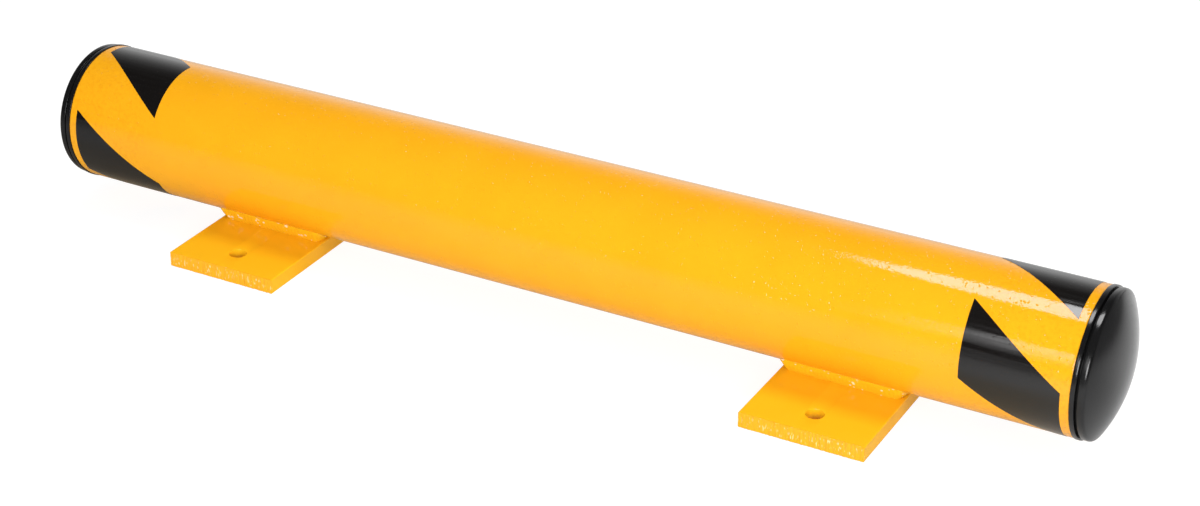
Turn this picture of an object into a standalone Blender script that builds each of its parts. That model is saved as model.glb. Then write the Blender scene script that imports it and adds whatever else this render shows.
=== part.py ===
# Steel bollard that lies along the floor: a capped length of pipe, welded to two base plates.
# Lengths are in metres. X runs along the pipe, Y across it and Z up.
# The origin is on the floor, under the middle of the pipe.

from math import asin, cos, pi, radians, sin, sqrt, tan

import bmesh
import bpy
from mathutils import Matrix, Vector

# Driving dimensions

SEAT_GAP = 0.0003            # between any two pieces that touch

PIPE_OUTER_DIAMETER = 0.1143
PIPE_WALL = 0.00602
PIPE_LENGTH = 0.889
PIPE_EDGE_BREAK = 0.0008     # chamfer on the sawn ends

PLATE_WIDTH = 0.1016         # along the pipe
PLATE_DEPTH = 0.2032         # across the pipe
PLATE_THICKNESS = 0.0127
PLATE_EDGE_RADIUS = 0.0008

HOLE_DIAMETER = 0.01429
HOLE_TO_PLATE_EDGE = 0.0254  # hole centre to the nearer short edge

# The stripe band begins near the pipe's end, then comes bare pipe, then the plate
BAND_TO_PIPE_END = 0.007
BAND_WIDTH = 0.0762
BAND_TO_PLATE = 0.05015

STRIPE_SPAN = radians(61.6)  # how far each stripe reaches round the pipe
STRIPE_LEAN = radians(34.5)  # slope of a stripe's long edges from the pipe's length
STRIPE_THICKNESS = 0.0003
LEFT_FIRST_STRIPE = radians(-6.6)
RIGHT_FIRST_STRIPE = radians(23.2)
# How far each hand-laid stripe strays from an even spacing
LEFT_STRIPE_STRAYS = [0.0, radians(4.6), radians(2.3)]
RIGHT_STRIPE_STRAYS = [0.0, radians(-2.3), radians(-1.2)]

# The pipe curves down to each plate, and a bead fills the narrowing groove between them
WELD_HEIGHT = 0.0113          # upper toe on the pipe, above the plate
WELD_TOE_STEP = 0.0054        # lower toe lies this far in from the upper one
WELD_ROOT_OPENING = 0.0020    # pipe to plate where the weld metal starts
WELD_CROWN = 0.0012           # bulge of the face
WELD_END_SETBACK = 0.0028     # plate edge to the bead's end
WELD_END_RADIUS = 0.005
WELD_END_REACH = 0.35         # share of the bead's reach that is left at its very end
WELD_END_FLARE = 0.0045       # the end leans out by this much at the pipe
WELD_RIPPLE_PITCH = 0.0068
WELD_RIPPLE_HEIGHT = 0.0003

CAP_FLANGE_THICKNESS = 0.0029
CAP_GROOVE_WIDTH = 0.0012
CAP_GROOVE_DEPTH = 0.00175    # in from the rim
CAP_RIM_INSET = 0.00125       # rim lies this far inside the pipe's outer surface
CAP_RIM_HEIGHT = 0.0059       # groove to where the dome's curve would meet the rim
CAP_RIM_EDGE_RADIUS = 0.003
CAP_DOME_RISE = 0.0151        # from there to the top of the dome
CAP_WALL = 0.0030
CAP_PLUG_CLEARANCE = 0.0031   # plug wall to the pipe's bore
CAP_FIN_WIDTH = 0.0022
CAP_FIN_PITCH = 0.0075
CAP_FIN_COUNT = 3
CAP_PLUG_LEAD = 0.0055        # last fin to the plug's end

# Facets

ROUND_STEPS = 60
STRIPE_STEPS_ALONG = 8
STRIPE_STEPS_ROUND = 12
WELD_FACE_STEPS = 5
WELD_BACK_STEPS = 4
WELD_END_STEPS = 3
DOME_STEPS = 5
HOLLOW_STEPS = 3
RIM_EDGE_STEPS = 3
HOLE_STEPS = 32
SHARP_ANGLE = radians(35)

# Sizes and places that follow

PIPE_RADIUS = PIPE_OUTER_DIAMETER / 2
BORE_RADIUS = PIPE_RADIUS - PIPE_WALL
PIPE_AXIS_HEIGHT = PLATE_THICKNESS + SEAT_GAP + PIPE_RADIUS
PIPE_END = PIPE_LENGTH / 2
PLATE_CENTRE = PIPE_END - BAND_TO_PIPE_END - BAND_WIDTH - BAND_TO_PLATE - PLATE_WIDTH / 2
HOLE_CENTRE = PLATE_DEPTH / 2 - HOLE_TO_PLATE_EDGE
WELD_SEAT_RADIUS = PIPE_RADIUS + SEAT_GAP
WELD_FLOOR = PLATE_THICKNESS + SEAT_GAP

ALONG_PIPE = Matrix.Rotation(pi / 2, 4, "Y")
SIDES = {"left": -1, "right": 1}
FACES = {"front": -1, "rear": 1}


# Scene and helpers

def clear_scene():
    for old in list(bpy.data.objects):
        bpy.data.objects.remove(old, do_unlink=True)


def new_collection(name):
    collection = bpy.data.collections.new(name)
    bpy.context.scene.collection.children.link(collection)
    return collection


def new_material(name, colour, roughness, metallic=0.0):
    material = bpy.data.materials.new(name)
    material.use_nodes = True
    shader = material.node_tree.nodes["Principled BSDF"]
    shader.inputs["Base Color"].default_value = (*colour, 1.0)
    shader.inputs["Roughness"].default_value = roughness
    shader.inputs["Metallic"].default_value = metallic
    material.diffuse_color = (*colour, 1.0)
    return material


def new_object(name, bm, material, collection):
    mesh = bpy.data.meshes.new(name)
    bm.to_mesh(mesh)
    bm.free()
    if material:
        mesh.materials.append(material)
    obj = bpy.data.objects.new(name, mesh)
    collection.objects.link(obj)
    return obj


def smooth_round(obj):
    obj.data.shade_smooth()
    obj.data.set_sharp_from_angle(angle=SHARP_ANGLE)


def arc(centre, radius, start, end, steps):
    """Points (r, z) of an arc, both ends included."""
    angles = [start + (end - start) * i / steps for i in range(steps + 1)]
    return [(centre[0] + radius * cos(a), centre[1] + radius * sin(a)) for a in angles]


def turned(name, profile, material, collection, closed):
    """Turn a profile of (r, z) points, listed down its outer side, about the Z axis."""
    bm = bmesh.new()
    verts = [bm.verts.new((r, 0.0, z)) for r, z in profile]
    for a, b in zip(verts, verts[1:]):
        bm.edges.new((a, b))
    if closed:
        bm.edges.new((verts[-1], verts[0]))
    obj = new_object(name, bm, material, collection)
    screw = obj.modifiers.new("Turn", "SCREW")
    screw.axis = "Z"
    screw.angle = 2 * pi
    screw.steps = ROUND_STEPS
    screw.render_steps = ROUND_STEPS
    screw.use_merge_vertices = True
    screw.merge_threshold = 0.00001
    screw.use_smooth_shade = True
    return obj


def on_pipe(x, angle, radius):
    """A point round the pipe's axis. The angle is 0 at the front and 90 degrees on top."""
    return Vector((x, -radius * cos(angle), PIPE_AXIS_HEIGHT + radius * sin(angle)))


# Pipe

def make_pipe(material, collection):
    edge = PIPE_EDGE_BREAK
    profile = [
        (PIPE_RADIUS - edge, PIPE_END),
        (PIPE_RADIUS, PIPE_END - edge),
        (PIPE_RADIUS, edge - PIPE_END),
        (PIPE_RADIUS - edge, -PIPE_END),
        (BORE_RADIUS, -PIPE_END),
        (BORE_RADIUS, PIPE_END),
    ]
    pipe = turned("pipe", profile, material, collection, closed=True)
    pipe.matrix_world = Matrix.Translation((0, 0, PIPE_AXIS_HEIGHT)) @ ALONG_PIPE
    return pipe


# Base plates with their anchor holes

def make_hole_cutter(name, x, y, collection):
    bm = bmesh.new()
    bmesh.ops.create_cone(
        bm,
        cap_ends=True,
        segments=HOLE_STEPS,
        radius1=HOLE_DIAMETER / 2,
        radius2=HOLE_DIAMETER / 2,
        depth=PLATE_THICKNESS * 3,
    )
    cutter = new_object(name, bm, None, collection)
    cutter.location = (x, y, PLATE_THICKNESS / 2)
    cutter.hide_render = True
    cutter.display_type = "WIRE"
    return cutter


def make_base_plate(side, material, collection, cutters):
    x = SIDES[side] * PLATE_CENTRE
    bm = bmesh.new()
    size = Matrix.Diagonal((PLATE_WIDTH, PLATE_DEPTH, PLATE_THICKNESS, 1.0))
    bmesh.ops.create_cube(bm, size=1.0, matrix=size)
    plate = new_object(f"base_plate_{side}", bm, material, collection)
    plate.location = (x, 0.0, PLATE_THICKNESS / 2)
    edges = plate.modifiers.new("Rounded edges", "BEVEL")
    edges.width = PLATE_EDGE_RADIUS
    edges.segments = 2
    for face, sign in FACES.items():
        cutter = make_hole_cutter(f"hole_cutter_{side}_{face}", x, sign * HOLE_CENTRE, cutters)
        hole = plate.modifiers.new(f"Anchor hole {face}", "BOOLEAN")
        hole.operation = "DIFFERENCE"
        hole.solver = "EXACT"
        hole.object = cutter
    return plate


# Weld beads between the pipe and the plates

def under_pipe(y):
    """Height of the groove's roof, which follows the pipe, at a distance y from the middle."""
    return PIPE_AXIS_HEIGHT - sqrt(WELD_SEAT_RADIUS ** 2 - y ** 2)


def where_pipe_is(height):
    """Distance from the middle at which the pipe's underside is this high above the plate."""
    return sqrt(PIPE_RADIUS ** 2 - (PIPE_RADIUS - height) ** 2)


def weld_section(crown, share):
    """Outline (y, z) of a bead: root, lower toe, face, upper toe and back along the pipe."""
    root_y = where_pipe_is(WELD_ROOT_OPENING)
    reach = WELD_END_REACH + (1 - WELD_END_REACH) * share
    upper_y = root_y + (where_pipe_is(WELD_HEIGHT) - root_y) * reach
    lower_y = upper_y - WELD_TOE_STEP * reach
    back = []
    for i in range(WELD_BACK_STEPS + 1):
        y = upper_y + (root_y - upper_y) * i / WELD_BACK_STEPS
        back.append(Vector((y, under_pipe(y))))
    root = Vector((root_y, WELD_FLOOR))
    lower_toe = Vector((lower_y, WELD_FLOOR))
    chord = back[0] - lower_toe
    outward = Vector((chord.y, -chord.x)).normalized()
    face = []
    for i in range(1, WELD_FACE_STEPS + 1):
        t = i / (WELD_FACE_STEPS + 1)
        face.append(lower_toe + chord * t + outward * crown * 4 * t * (1 - t))
    return [root, lower_toe, *face, *back]


def weld_stations(half):
    """Places along a bead as (x, share of the full section), closer together at its round ends."""
    straight = half - WELD_END_RADIUS
    ripples = round(2 * straight / WELD_RIPPLE_PITCH)
    turns = [pi / 2 * (i + 0.5) / WELD_END_STEPS for i in range(WELD_END_STEPS)]
    rise = [(-straight - WELD_END_RADIUS * cos(a), sin(a)) for a in turns]
    run = [(straight * (i / ripples - 1), 1.0) for i in range(2 * ripples + 1)]
    fall = [(-x, share) for x, share in reversed(rise)]
    return rise + run + fall


def weld_ring(bm, middle, along, face_sign, half, section):
    """Place one section of a bead. Near the ends it leans out as it climbs the pipe."""
    top = max(point.y for point in section)
    ring = []
    for point in section:
        climb = (point.y - WELD_FLOOR) / (top - WELD_FLOOR)
        lean = WELD_END_FLARE * (along / half) ** 3 * climb
        ring.append(bm.verts.new((middle + along + lean, face_sign * point.x, point.y)))
    return ring


def make_weld_bead(side, face, material, collection):
    half = PLATE_WIDTH / 2 - WELD_END_SETBACK
    bm = bmesh.new()
    rings = []
    for index, (along, share) in enumerate(weld_stations(half)):
        crown = (WELD_CROWN + WELD_RIPPLE_HEIGHT * (index % 2)) * share
        section = weld_section(crown, share)
        rings.append(weld_ring(bm, SIDES[side] * PLATE_CENTRE, along, FACES[face], half, section))
    for ring, following in zip(rings, rings[1:]):
        for i in range(len(ring)):
            j = (i + 1) % len(ring)
            bm.faces.new((ring[i], ring[j], following[j], following[i]))
    bm.faces.new(rings[0])
    bm.faces.new(rings[-1])
    bmesh.ops.recalc_face_normals(bm, faces=bm.faces)
    bead = new_object(f"weld_bead_{side}_{face}", bm, material, collection)
    smooth_round(bead)
    return bead


# End caps

def cap_profile():
    """Points (r, z) down the outer side and back up the hollow. Z is 0 at the pipe's end."""
    rim = PIPE_RADIUS - CAP_RIM_INSET
    groove = rim - CAP_GROOVE_DEPTH
    plug = BORE_RADIUS - CAP_PLUG_CLEARANCE
    flange_top = SEAT_GAP + CAP_FLANGE_THICKNESS
    rim_bottom = flange_top + CAP_GROOVE_WIDTH
    plug_end = -CAP_FIN_PITCH * CAP_FIN_COUNT - CAP_PLUG_LEAD
    outer, inner = cap_domes(rim, plug - CAP_WALL, rim_bottom + CAP_RIM_HEIGHT)
    steps = [
        (rim, rim_bottom),
        (groove, rim_bottom),
        (groove, flange_top),
        (PIPE_RADIUS, flange_top),
        (PIPE_RADIUS, SEAT_GAP),
        (plug, SEAT_GAP),
    ]
    end = [(plug, plug_end), (plug - CAP_WALL, plug_end)]
    return outer + steps + plug_fins(plug) + end + inner


def cap_domes(rim, hollow, shoulder):
    """The dome with its rounded rim, top to rim, and the hollow's ceiling, edge to middle."""
    radius = (CAP_DOME_RISE ** 2 + rim ** 2) / (2 * CAP_DOME_RISE)
    centre = shoulder + CAP_DOME_RISE - radius
    edge_r = rim - CAP_RIM_EDGE_RADIUS
    edge_reach = radius - CAP_RIM_EDGE_RADIUS
    edge_z = centre + sqrt(edge_reach ** 2 - edge_r ** 2)
    meet = pi / 2 - asin(edge_r / edge_reach)
    dome = arc((0.0, centre), radius, pi / 2, meet, DOME_STEPS)
    edge = arc((edge_r, edge_z), CAP_RIM_EDGE_RADIUS, meet, 0.0, RIM_EDGE_STEPS)
    inner_radius = radius - CAP_WALL
    inner_meet = pi / 2 - asin(hollow / inner_radius)
    ceiling = arc((0.0, centre), inner_radius, inner_meet, pi / 2, HOLLOW_STEPS)
    return dome + edge[1:], ceiling


def plug_fins(plug):
    """Fins that grip the pipe's bore, each with a square top and a sloping lower side."""
    tip = BORE_RADIUS - SEAT_GAP
    points = []
    for i in range(CAP_FIN_COUNT):
        bottom = -CAP_FIN_PITCH * (i + 1)
        top = bottom + CAP_FIN_WIDTH
        points += [(plug, top), (tip, top), (plug, bottom)]
    return points


def make_end_cap(side, material, collection):
    profile = cap_profile()
    cap = turned(f"end_cap_{side}", profile, material, collection, closed=False)
    turn = ALONG_PIPE if side == "right" else ALONG_PIPE.inverted()
    place = Matrix.Translation((SIDES[side] * PIPE_END, 0.0, PIPE_AXIS_HEIGHT))
    cap.matrix_world = place @ turn
    return cap


# Hazard stripes laid round each end of the pipe

def make_stripe(name, band_start, start_angle, material, collection):
    """A thin leaning strip. Its middle lies at start_angle where the band starts, at -X."""
    twist = BAND_WIDTH * tan(STRIPE_LEAN) / PIPE_RADIUS
    bm = bmesh.new()
    bmesh.ops.create_grid(bm, x_segments=STRIPE_STEPS_ALONG, y_segments=STRIPE_STEPS_ROUND, size=0.5)
    for vert in bm.verts:
        along = vert.co.x + 0.5
        angle = start_angle - twist * along + STRIPE_SPAN * vert.co.y
        vert.co = on_pipe(band_start + BAND_WIDTH * along, angle, PIPE_RADIUS + SEAT_GAP)
    bmesh.ops.triangulate(bm, faces=bm.faces, quad_method="SHORT_EDGE")
    bmesh.ops.recalc_face_normals(bm, faces=bm.faces)
    stripe = new_object(name, bm, material, collection)
    point_outwards(stripe.data)
    film = stripe.modifiers.new("Film", "SOLIDIFY")
    film.thickness = STRIPE_THICKNESS
    film.offset = 1.0
    smooth_round(stripe)
    return stripe


def point_outwards(mesh):
    """Flip an open sheet whose faces look in at the pipe's axis."""
    face = mesh.polygons[0]
    outward = face.center - Vector((face.center.x, 0.0, PIPE_AXIS_HEIGHT))
    if face.normal.dot(outward) < 0:
        mesh.flip_normals()


def make_stripes(side, first_angle, strays, material, collection):
    starts = {"left": BAND_TO_PIPE_END - PIPE_END, "right": PIPE_END - BAND_TO_PIPE_END - BAND_WIDTH}
    pitch = 2 * pi / len(strays)
    for index, stray in enumerate(strays):
        angle = first_angle + pitch * index + stray
        name = f"stripe_{side}_{index + 1}"
        make_stripe(name, starts[side], angle, material, collection)


# Build

def build():
    clear_scene()
    parts = new_collection("steel_bollard")
    cutters = new_collection("cutters")
    yellow = (0.965, 0.46, 0.012)
    make_pipe(new_material("pipe_paint", yellow, 0.28), parts)
    plate_paint = new_material("plate_paint", yellow, 0.32)
    weld_paint = new_material("weld_paint", (0.98, 0.50, 0.015), 0.25)
    cap_plastic = new_material("cap_plastic", (0.012, 0.012, 0.013), 0.30)
    film = new_material("stripe_film", (0.020, 0.020, 0.021), 0.30)
    for side in SIDES:
        make_base_plate(side, plate_paint, parts, cutters)
        for face in FACES:
            make_weld_bead(side, face, weld_paint, parts)
        make_end_cap(side, cap_plastic, parts)
    make_stripes("left", LEFT_FIRST_STRIPE, LEFT_STRIPE_STRAYS, film, parts)
    make_stripes("right", RIGHT_FIRST_STRIPE, RIGHT_STRIPE_STRAYS, film, parts)


build()
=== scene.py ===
# %% [markdown]
# # A steel bollard that lies along the floor
#
# The object is a short length of steel pipe, capped at both ends and welded to two base plates.
# It guards a wall or a machine from forklift wheels. It is powder coated yellow, with black
# stripes laid round its ends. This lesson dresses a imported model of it, piece by piece, and
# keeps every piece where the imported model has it.

from math import asin, cos, pi, radians, sin, sqrt, tan

import bmesh
import bpy
from mathutils import Matrix, Vector


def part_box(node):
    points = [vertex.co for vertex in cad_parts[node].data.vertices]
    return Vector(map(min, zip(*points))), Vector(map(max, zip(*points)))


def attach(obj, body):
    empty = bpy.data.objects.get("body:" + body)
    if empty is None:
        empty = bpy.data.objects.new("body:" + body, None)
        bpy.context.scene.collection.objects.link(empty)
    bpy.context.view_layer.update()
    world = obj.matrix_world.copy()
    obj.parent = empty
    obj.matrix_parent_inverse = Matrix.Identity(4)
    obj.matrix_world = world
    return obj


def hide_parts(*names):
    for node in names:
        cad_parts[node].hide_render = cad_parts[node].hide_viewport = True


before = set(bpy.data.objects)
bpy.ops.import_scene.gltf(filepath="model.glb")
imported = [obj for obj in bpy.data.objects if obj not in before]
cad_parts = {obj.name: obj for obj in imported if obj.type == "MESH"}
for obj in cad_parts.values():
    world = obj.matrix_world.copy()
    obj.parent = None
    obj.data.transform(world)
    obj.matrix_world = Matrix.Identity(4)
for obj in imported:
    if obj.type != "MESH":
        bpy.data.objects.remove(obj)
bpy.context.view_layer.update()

# %% [markdown]
# ## Sizes read from the imported model
#
# Each size could be typed in again, but a copied number goes wrong the day the model changes.
# So the boxes of the imported nodes give the sizes, and only what no box can tell, such as the
# wall hidden inside the pipe, is given.

# %% Measure the pipe, the plates and the caps
MM = 0.001

pipe_low, pipe_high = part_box("pipe")
pipe_radius = (pipe_high[2] - pipe_low[2]) / 2
pipe_axis = (pipe_high[2] + pipe_low[2]) / 2
pipe_end = pipe_high[0]
PIPE_WALL = 6.02 * MM
bore_radius = pipe_radius - PIPE_WALL
print(f"pipe radius {pipe_radius / MM:.2f} mm, half its length {pipe_end / MM:.1f} mm")
print(f"pipe axis {pipe_axis / MM:.2f} mm above the floor")

plate_low, plate_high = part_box("base_plate_right")
plate_half_width = (plate_high[0] - plate_low[0]) / 2
plate_half_depth = (plate_high[1] - plate_low[1]) / 2
plate_top = plate_high[2]
plate_centre = (plate_low[0] + plate_high[0]) / 2
print(f"plate {2 * plate_half_width / MM:.1f} x {2 * plate_half_depth / MM:.1f} mm,")
print(f"{plate_top / MM:.1f} mm thick")

cap_low, cap_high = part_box("end_cap_right")
cap_tip = cap_high[0] - pipe_end
plug_depth = pipe_end - cap_low[0]
print(f"cap stands {cap_tip / MM:.1f} mm out and its plug goes {plug_depth / MM:.1f} mm in")

SIDES = {"left": -1, "right": 1}
FACES = {"front": -1, "rear": 1}

# %% [markdown]
# ## The camera
#
# The photograph looks down on the bollard from its front right, close enough for the near end
# to look larger. The camera could be turned by eye until the picture fits. Here it was solved
# from the corners of the plates, the holes and the pipe's outline, which gave one place in
# metres, two turns in radians and one lens in millimetres.

# %% Place the camera
CAMERA_PLACE = (0.8919, -1.5502, 0.9970)
CAMERA_DOWN = 0.48951
CAMERA_TURN = 0.50356
CAMERA_LENS = 76.28
SENSOR_WIDTH = 36.0

camera_data = bpy.data.cameras.new("camera")
camera_data.lens = CAMERA_LENS
camera_data.sensor_width = SENSOR_WIDTH
camera_data.sensor_fit = "HORIZONTAL"
camera = bpy.data.objects.new("camera", camera_data)
camera.location = CAMERA_PLACE
camera.rotation_euler = (pi / 2 - CAMERA_DOWN, 0.0, CAMERA_TURN)
bpy.context.scene.collection.objects.link(camera)
bpy.context.scene.camera = camera
bpy.context.scene.view_settings.view_transform = "Standard"
print("camera looks down by", round(CAMERA_DOWN * 180 / pi, 1), "degrees")

# %% [markdown]
# ## Helpers for node trees
#
# A node tree can be wired in the editor or in code. In code, a short helper that makes a node,
# sets its options and fills its sockets keeps each material readable. The sums that come up
# again and again, such as a product or a soft step, get a helper of their own.

# %% Make and wire nodes
FLOAT = "NodeSocketFloat"
COLOUR = "NodeSocketColor"
VECTOR = "NodeSocketVector"
GEOMETRY = "NodeSocketGeometry"
MATERIAL = "NodeSocketMaterial"


def fill_sockets(tree, node, values):
    for socket, value in values.items():
        if isinstance(value, bpy.types.NodeSocket):
            tree.links.new(value, node.inputs[socket])
        else:
            node.inputs[socket].default_value = value


def add_node(tree, kind, values=None, **options):
    node = tree.nodes.new(kind)
    for option, value in options.items():
        setattr(node, option, value)
    fill_sockets(tree, node, values or {})
    return node


def calculate(tree, operation, a, b=0.0):
    return add_node(tree, "ShaderNodeMath", {0: a, 1: b}, operation=operation).outputs[0]


def split(tree, place):
    return add_node(tree, "ShaderNodeSeparateXYZ", {0: place}).outputs


def combine(tree, x=0.0, y=0.0, z=0.0):
    return add_node(tree, "ShaderNodeCombineXYZ", {0: x, 1: y, 2: z}).outputs[0]


def product(tree, first, *others):
    for other in others:
        first = calculate(tree, "MULTIPLY", first, other)
    return first


def one_minus(tree, value):
    return calculate(tree, "SUBTRACT", 1.0, value)


def fade(tree, value, start, stop):
    """A value that runs smoothly from 0 at start to 1 at stop."""
    places = {"Value": value, "From Min": start, "From Max": stop}
    return add_node(tree, "ShaderNodeMapRange", places, interpolation_type="SMOOTHSTEP").outputs[0]


def stretch(tree, value, spread, ends):
    """Map the range spread onto the range between both ends, in a straight line."""
    values = {
        "Value": value,
        "From Min": spread[0], "From Max": spread[1],
        "To Min": ends[0], "To Max": ends[1],
    }
    return add_node(tree, "ShaderNodeMapRange", values).outputs[0]


def mix_colours(tree, share, first, second):
    node = add_node(tree, "ShaderNodeMix", {0: share, 6: first, 7: second}, data_type="RGBA")
    return node.outputs[2]


def mix_values(tree, share, first, second):
    return add_node(tree, "ShaderNodeMix", {0: share, 2: first, 3: second}).outputs[0]


def mix_shaders(tree, share, first, second):
    return add_node(tree, "ShaderNodeMixShader", {0: share, 1: first, 2: second}).outputs[0]


def noise(tree, place, size, detail=1.0):
    """Noise whose waves are about as long as size, in metres."""
    per_metre = calculate(tree, "DIVIDE", 1.0, size)
    values = {"Vector": place, "Scale": per_metre, "Detail": detail}
    return add_node(tree, "ShaderNodeTexNoise", values).outputs[0]


def new_group(name, kind, inputs, outputs):
    """A node group. Inputs and outputs are given as {name: (socket kind, default or None)}."""
    group = bpy.data.node_groups.new(name, kind)
    for in_out, sockets in (("INPUT", inputs), ("OUTPUT", outputs)):
        for socket_name, (socket_kind, default) in sockets.items():
            socket = group.interface.new_socket(socket_name, in_out=in_out, socket_type=socket_kind)
            if default is not None:
                socket.default_value = default
    print("group:", name)
    return group, group.nodes.new("NodeGroupInput").outputs, group.nodes.new("NodeGroupOutput").inputs


def use_group(tree, group, values):
    node = tree.nodes.new("ShaderNodeGroup")
    node.node_tree = group
    fill_sockets(tree, node, values)
    return node.outputs


def new_material(name):
    material = bpy.data.materials.new(name)
    material.use_nodes = True
    tree = material.node_tree
    place = tree.nodes.new("ShaderNodeTexCoord").outputs["Object"]
    print("material:", name)
    return material, tree, tree.nodes["Principled BSDF"], place


# %% [markdown]
# ## The room
#
# Gloss paint is a mirror laid over a colour, so the room matters as much as the paint. The
# photograph's room can be read back from the reflections: a pale floor and backdrop, nothing
# above the horizon in front, one large lamp overhead and a narrow one in front. The world
# gives the camera plain white, gives reflections that room, and lights all else evenly.

# %% The world
WHITE = (1, 1, 1, 1)
AMBIENT = 0.38
ROOM_BRIGHTNESS = 0.95
FRONT_DIMMING = 0.55
RIGHT_DIMMING = 0.80

# Where a change starts and ends, as a direction's share of X, Y or Z
HORIZON = (-0.05, 0.06)
BACKDROP_TOP = (0.05, 0.79)
ROOM_REAR = (0.0, 0.3)
ROOM_RIGHT = (0.2, 0.7)

world = bpy.data.worlds.new("room")
world.use_nodes = True
bpy.context.scene.world = world
room = world.node_tree
room.nodes.clear()
direction = room.nodes.new("ShaderNodeTexCoord").outputs["Generated"]
toward = split(room, direction)
not_behind = one_minus(room, fade(room, toward["Y"], *ROOM_REAR))
dark_front = product(room, fade(room, toward["Z"], *HORIZON), not_behind)
backdrop = one_minus(room, fade(room, toward["Z"], *BACKDROP_TOP))
pale_share = product(room, backdrop, one_minus(room, dark_front))
front_dimming = product(room, not_behind, FRONT_DIMMING)
right_dimming = product(room, fade(room, toward["X"], *ROOM_RIGHT), RIGHT_DIMMING)
dimming = calculate(room, "MAXIMUM", front_dimming, right_dimming)
reflected = product(room, pale_share, calculate(room, "SUBTRACT", ROOM_BRIGHTNESS, dimming))


# %% Three rooms, for reflections, for the camera and for all else
def room_light(strength):
    values = {"Color": WHITE, "Strength": strength}
    return add_node(room, "ShaderNodeBackground", values).outputs[0]


ray = room.nodes.new("ShaderNodeLightPath").outputs
unless_camera = mix_shaders(
    room, ray["Is Glossy Ray"], room_light(AMBIENT), room_light(reflected)
)
whole_room = mix_shaders(room, ray["Is Camera Ray"], unless_camera, room_light(1.0))
add_node(room, "ShaderNodeOutputWorld", {"Surface": whole_room})
print("the room lights evenly at", AMBIENT, "and reflects at", ROOM_BRIGHTNESS)

# %% [markdown]
# ## Floor
#
# The photograph was cut out on white, so its floor is white and carries next to no shadow. A
# floor that only scatters light would turn grey under the bollard. This one shows the camera
# mostly white of its own and a share of real scattered light, so that a pale shadow stays.

# %% What the camera sees of the floor
FLOOR_COLOUR = (0.88, 0.88, 0.88, 1)
OWN_WHITE = 0.88
SCATTERED_LIGHT = (0.24, 0.24, 0.24, 1)

floor_material, tree, floor_shader, place = new_material("floor")
fill_sockets(
    tree, floor_shader,
    {"Base Color": FLOOR_COLOUR, "Roughness": 1.0, "Specular IOR Level": 0.0},
)
floor_light = floor_shader.outputs[0]
lit = add_node(tree, "ShaderNodeBsdfDiffuse", {"Color": SCATTERED_LIGHT}).outputs[0]
white = add_node(tree, "ShaderNodeEmission", {"Color": WHITE, "Strength": OWN_WHITE}).outputs[0]
for_camera = add_node(tree, "ShaderNodeAddShader", {0: lit, 1: white}).outputs[0]

# %% [markdown]
# ### The floor in the paint
#
# The underside of the pipe is a mirror of the floor, and the photograph's floor wasn't evenly
# bright: it was dim at the left and in the pipe's shadow, bright at the right, and tinted by
# yellow light from the pipe. One brightness would make the paint look flat, so each part of
# the floor has its own, and the parts run softly into each other.

# %% How bright reflections find each part of the floor
LEFT_IN_GLOSS = 0.24
MIDDLE_IN_GLOSS = 0.32
RIGHT_IN_GLOSS = 0.90
SHADOW_IN_GLOSS = 0.28
UNDER_IN_GLOSS = 0.52
BEHIND_IN_GLOSS = 0.68
BESIDE_IN_GLOSS = 1.08
FAR_IN_GLOSS = 0.15

# Where one part runs into the next, in metres along the pipe or across it
LEFT_TO_MIDDLE = (-0.5, 0.0)
MIDDLE_TO_RIGHT = (0.15, 0.45)
SHADOW_EDGE = (0.08, 0.20)
UNDER_EDGE = (0.025, 0.070)
UNDER_START = (-0.42, -0.26)
BEHIND_TO_BESIDE = (0.3, 0.5)
FRONT_TO_REAR = (0.0, 0.15)
FAR_FRONT = (0.3, 0.9)
FAR_RIGHT = (0.55, 1.1)

on_floor = split(tree, place)
along = on_floor["X"]
in_front = product(tree, on_floor["Y"], -1.0)
left_part = mix_values(tree, fade(tree, along, *LEFT_TO_MIDDLE), LEFT_IN_GLOSS, MIDDLE_IN_GLOSS)
lit_part = mix_values(tree, fade(tree, along, *MIDDLE_TO_RIGHT), left_part, RIGHT_IN_GLOSS)
near_pipe = one_minus(tree, fade(tree, in_front, *SHADOW_EDGE))
shade = one_minus(tree, product(tree, near_pipe, SHADOW_IN_GLOSS))
under_pipe = one_minus(tree, fade(tree, in_front, *UNDER_EDGE))
under_strength = mix_values(tree, fade(tree, along, *UNDER_START), LEFT_IN_GLOSS, UNDER_IN_GLOSS)
under_part = product(tree, under_pipe, under_strength)
front_part = calculate(tree, "MAXIMUM", product(tree, lit_part, shade), under_part)
beside = fade(tree, along, *BEHIND_TO_BESIDE)
rear_part = mix_values(tree, beside, BEHIND_IN_GLOSS, BESIDE_IN_GLOSS)
near_part = mix_values(tree, fade(tree, on_floor["Y"], *FRONT_TO_REAR), front_part, rear_part)
far = calculate(
    tree, "MAXIMUM", fade(tree, in_front, *FAR_FRONT), fade(tree, along, *FAR_RIGHT)
)
floor_brightness = mix_values(tree, far, near_part, FAR_IN_GLOSS)
print("reflections find the floor from", FAR_IN_GLOSS, "to", BESIDE_IN_GLOSS, "bright")

# %% Yellow light from the pipe
BOUNCED_YELLOW = (1.0, 0.80, 0.50, 1)
PIPE_TO_FRONT = (-0.1, 0.0)
YELLOW_TO_CAP = (0.38, 0.46)
PALE_SHARE_NEAR = 0.80
PALE_SHARE_FAR = 0.92

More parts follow.
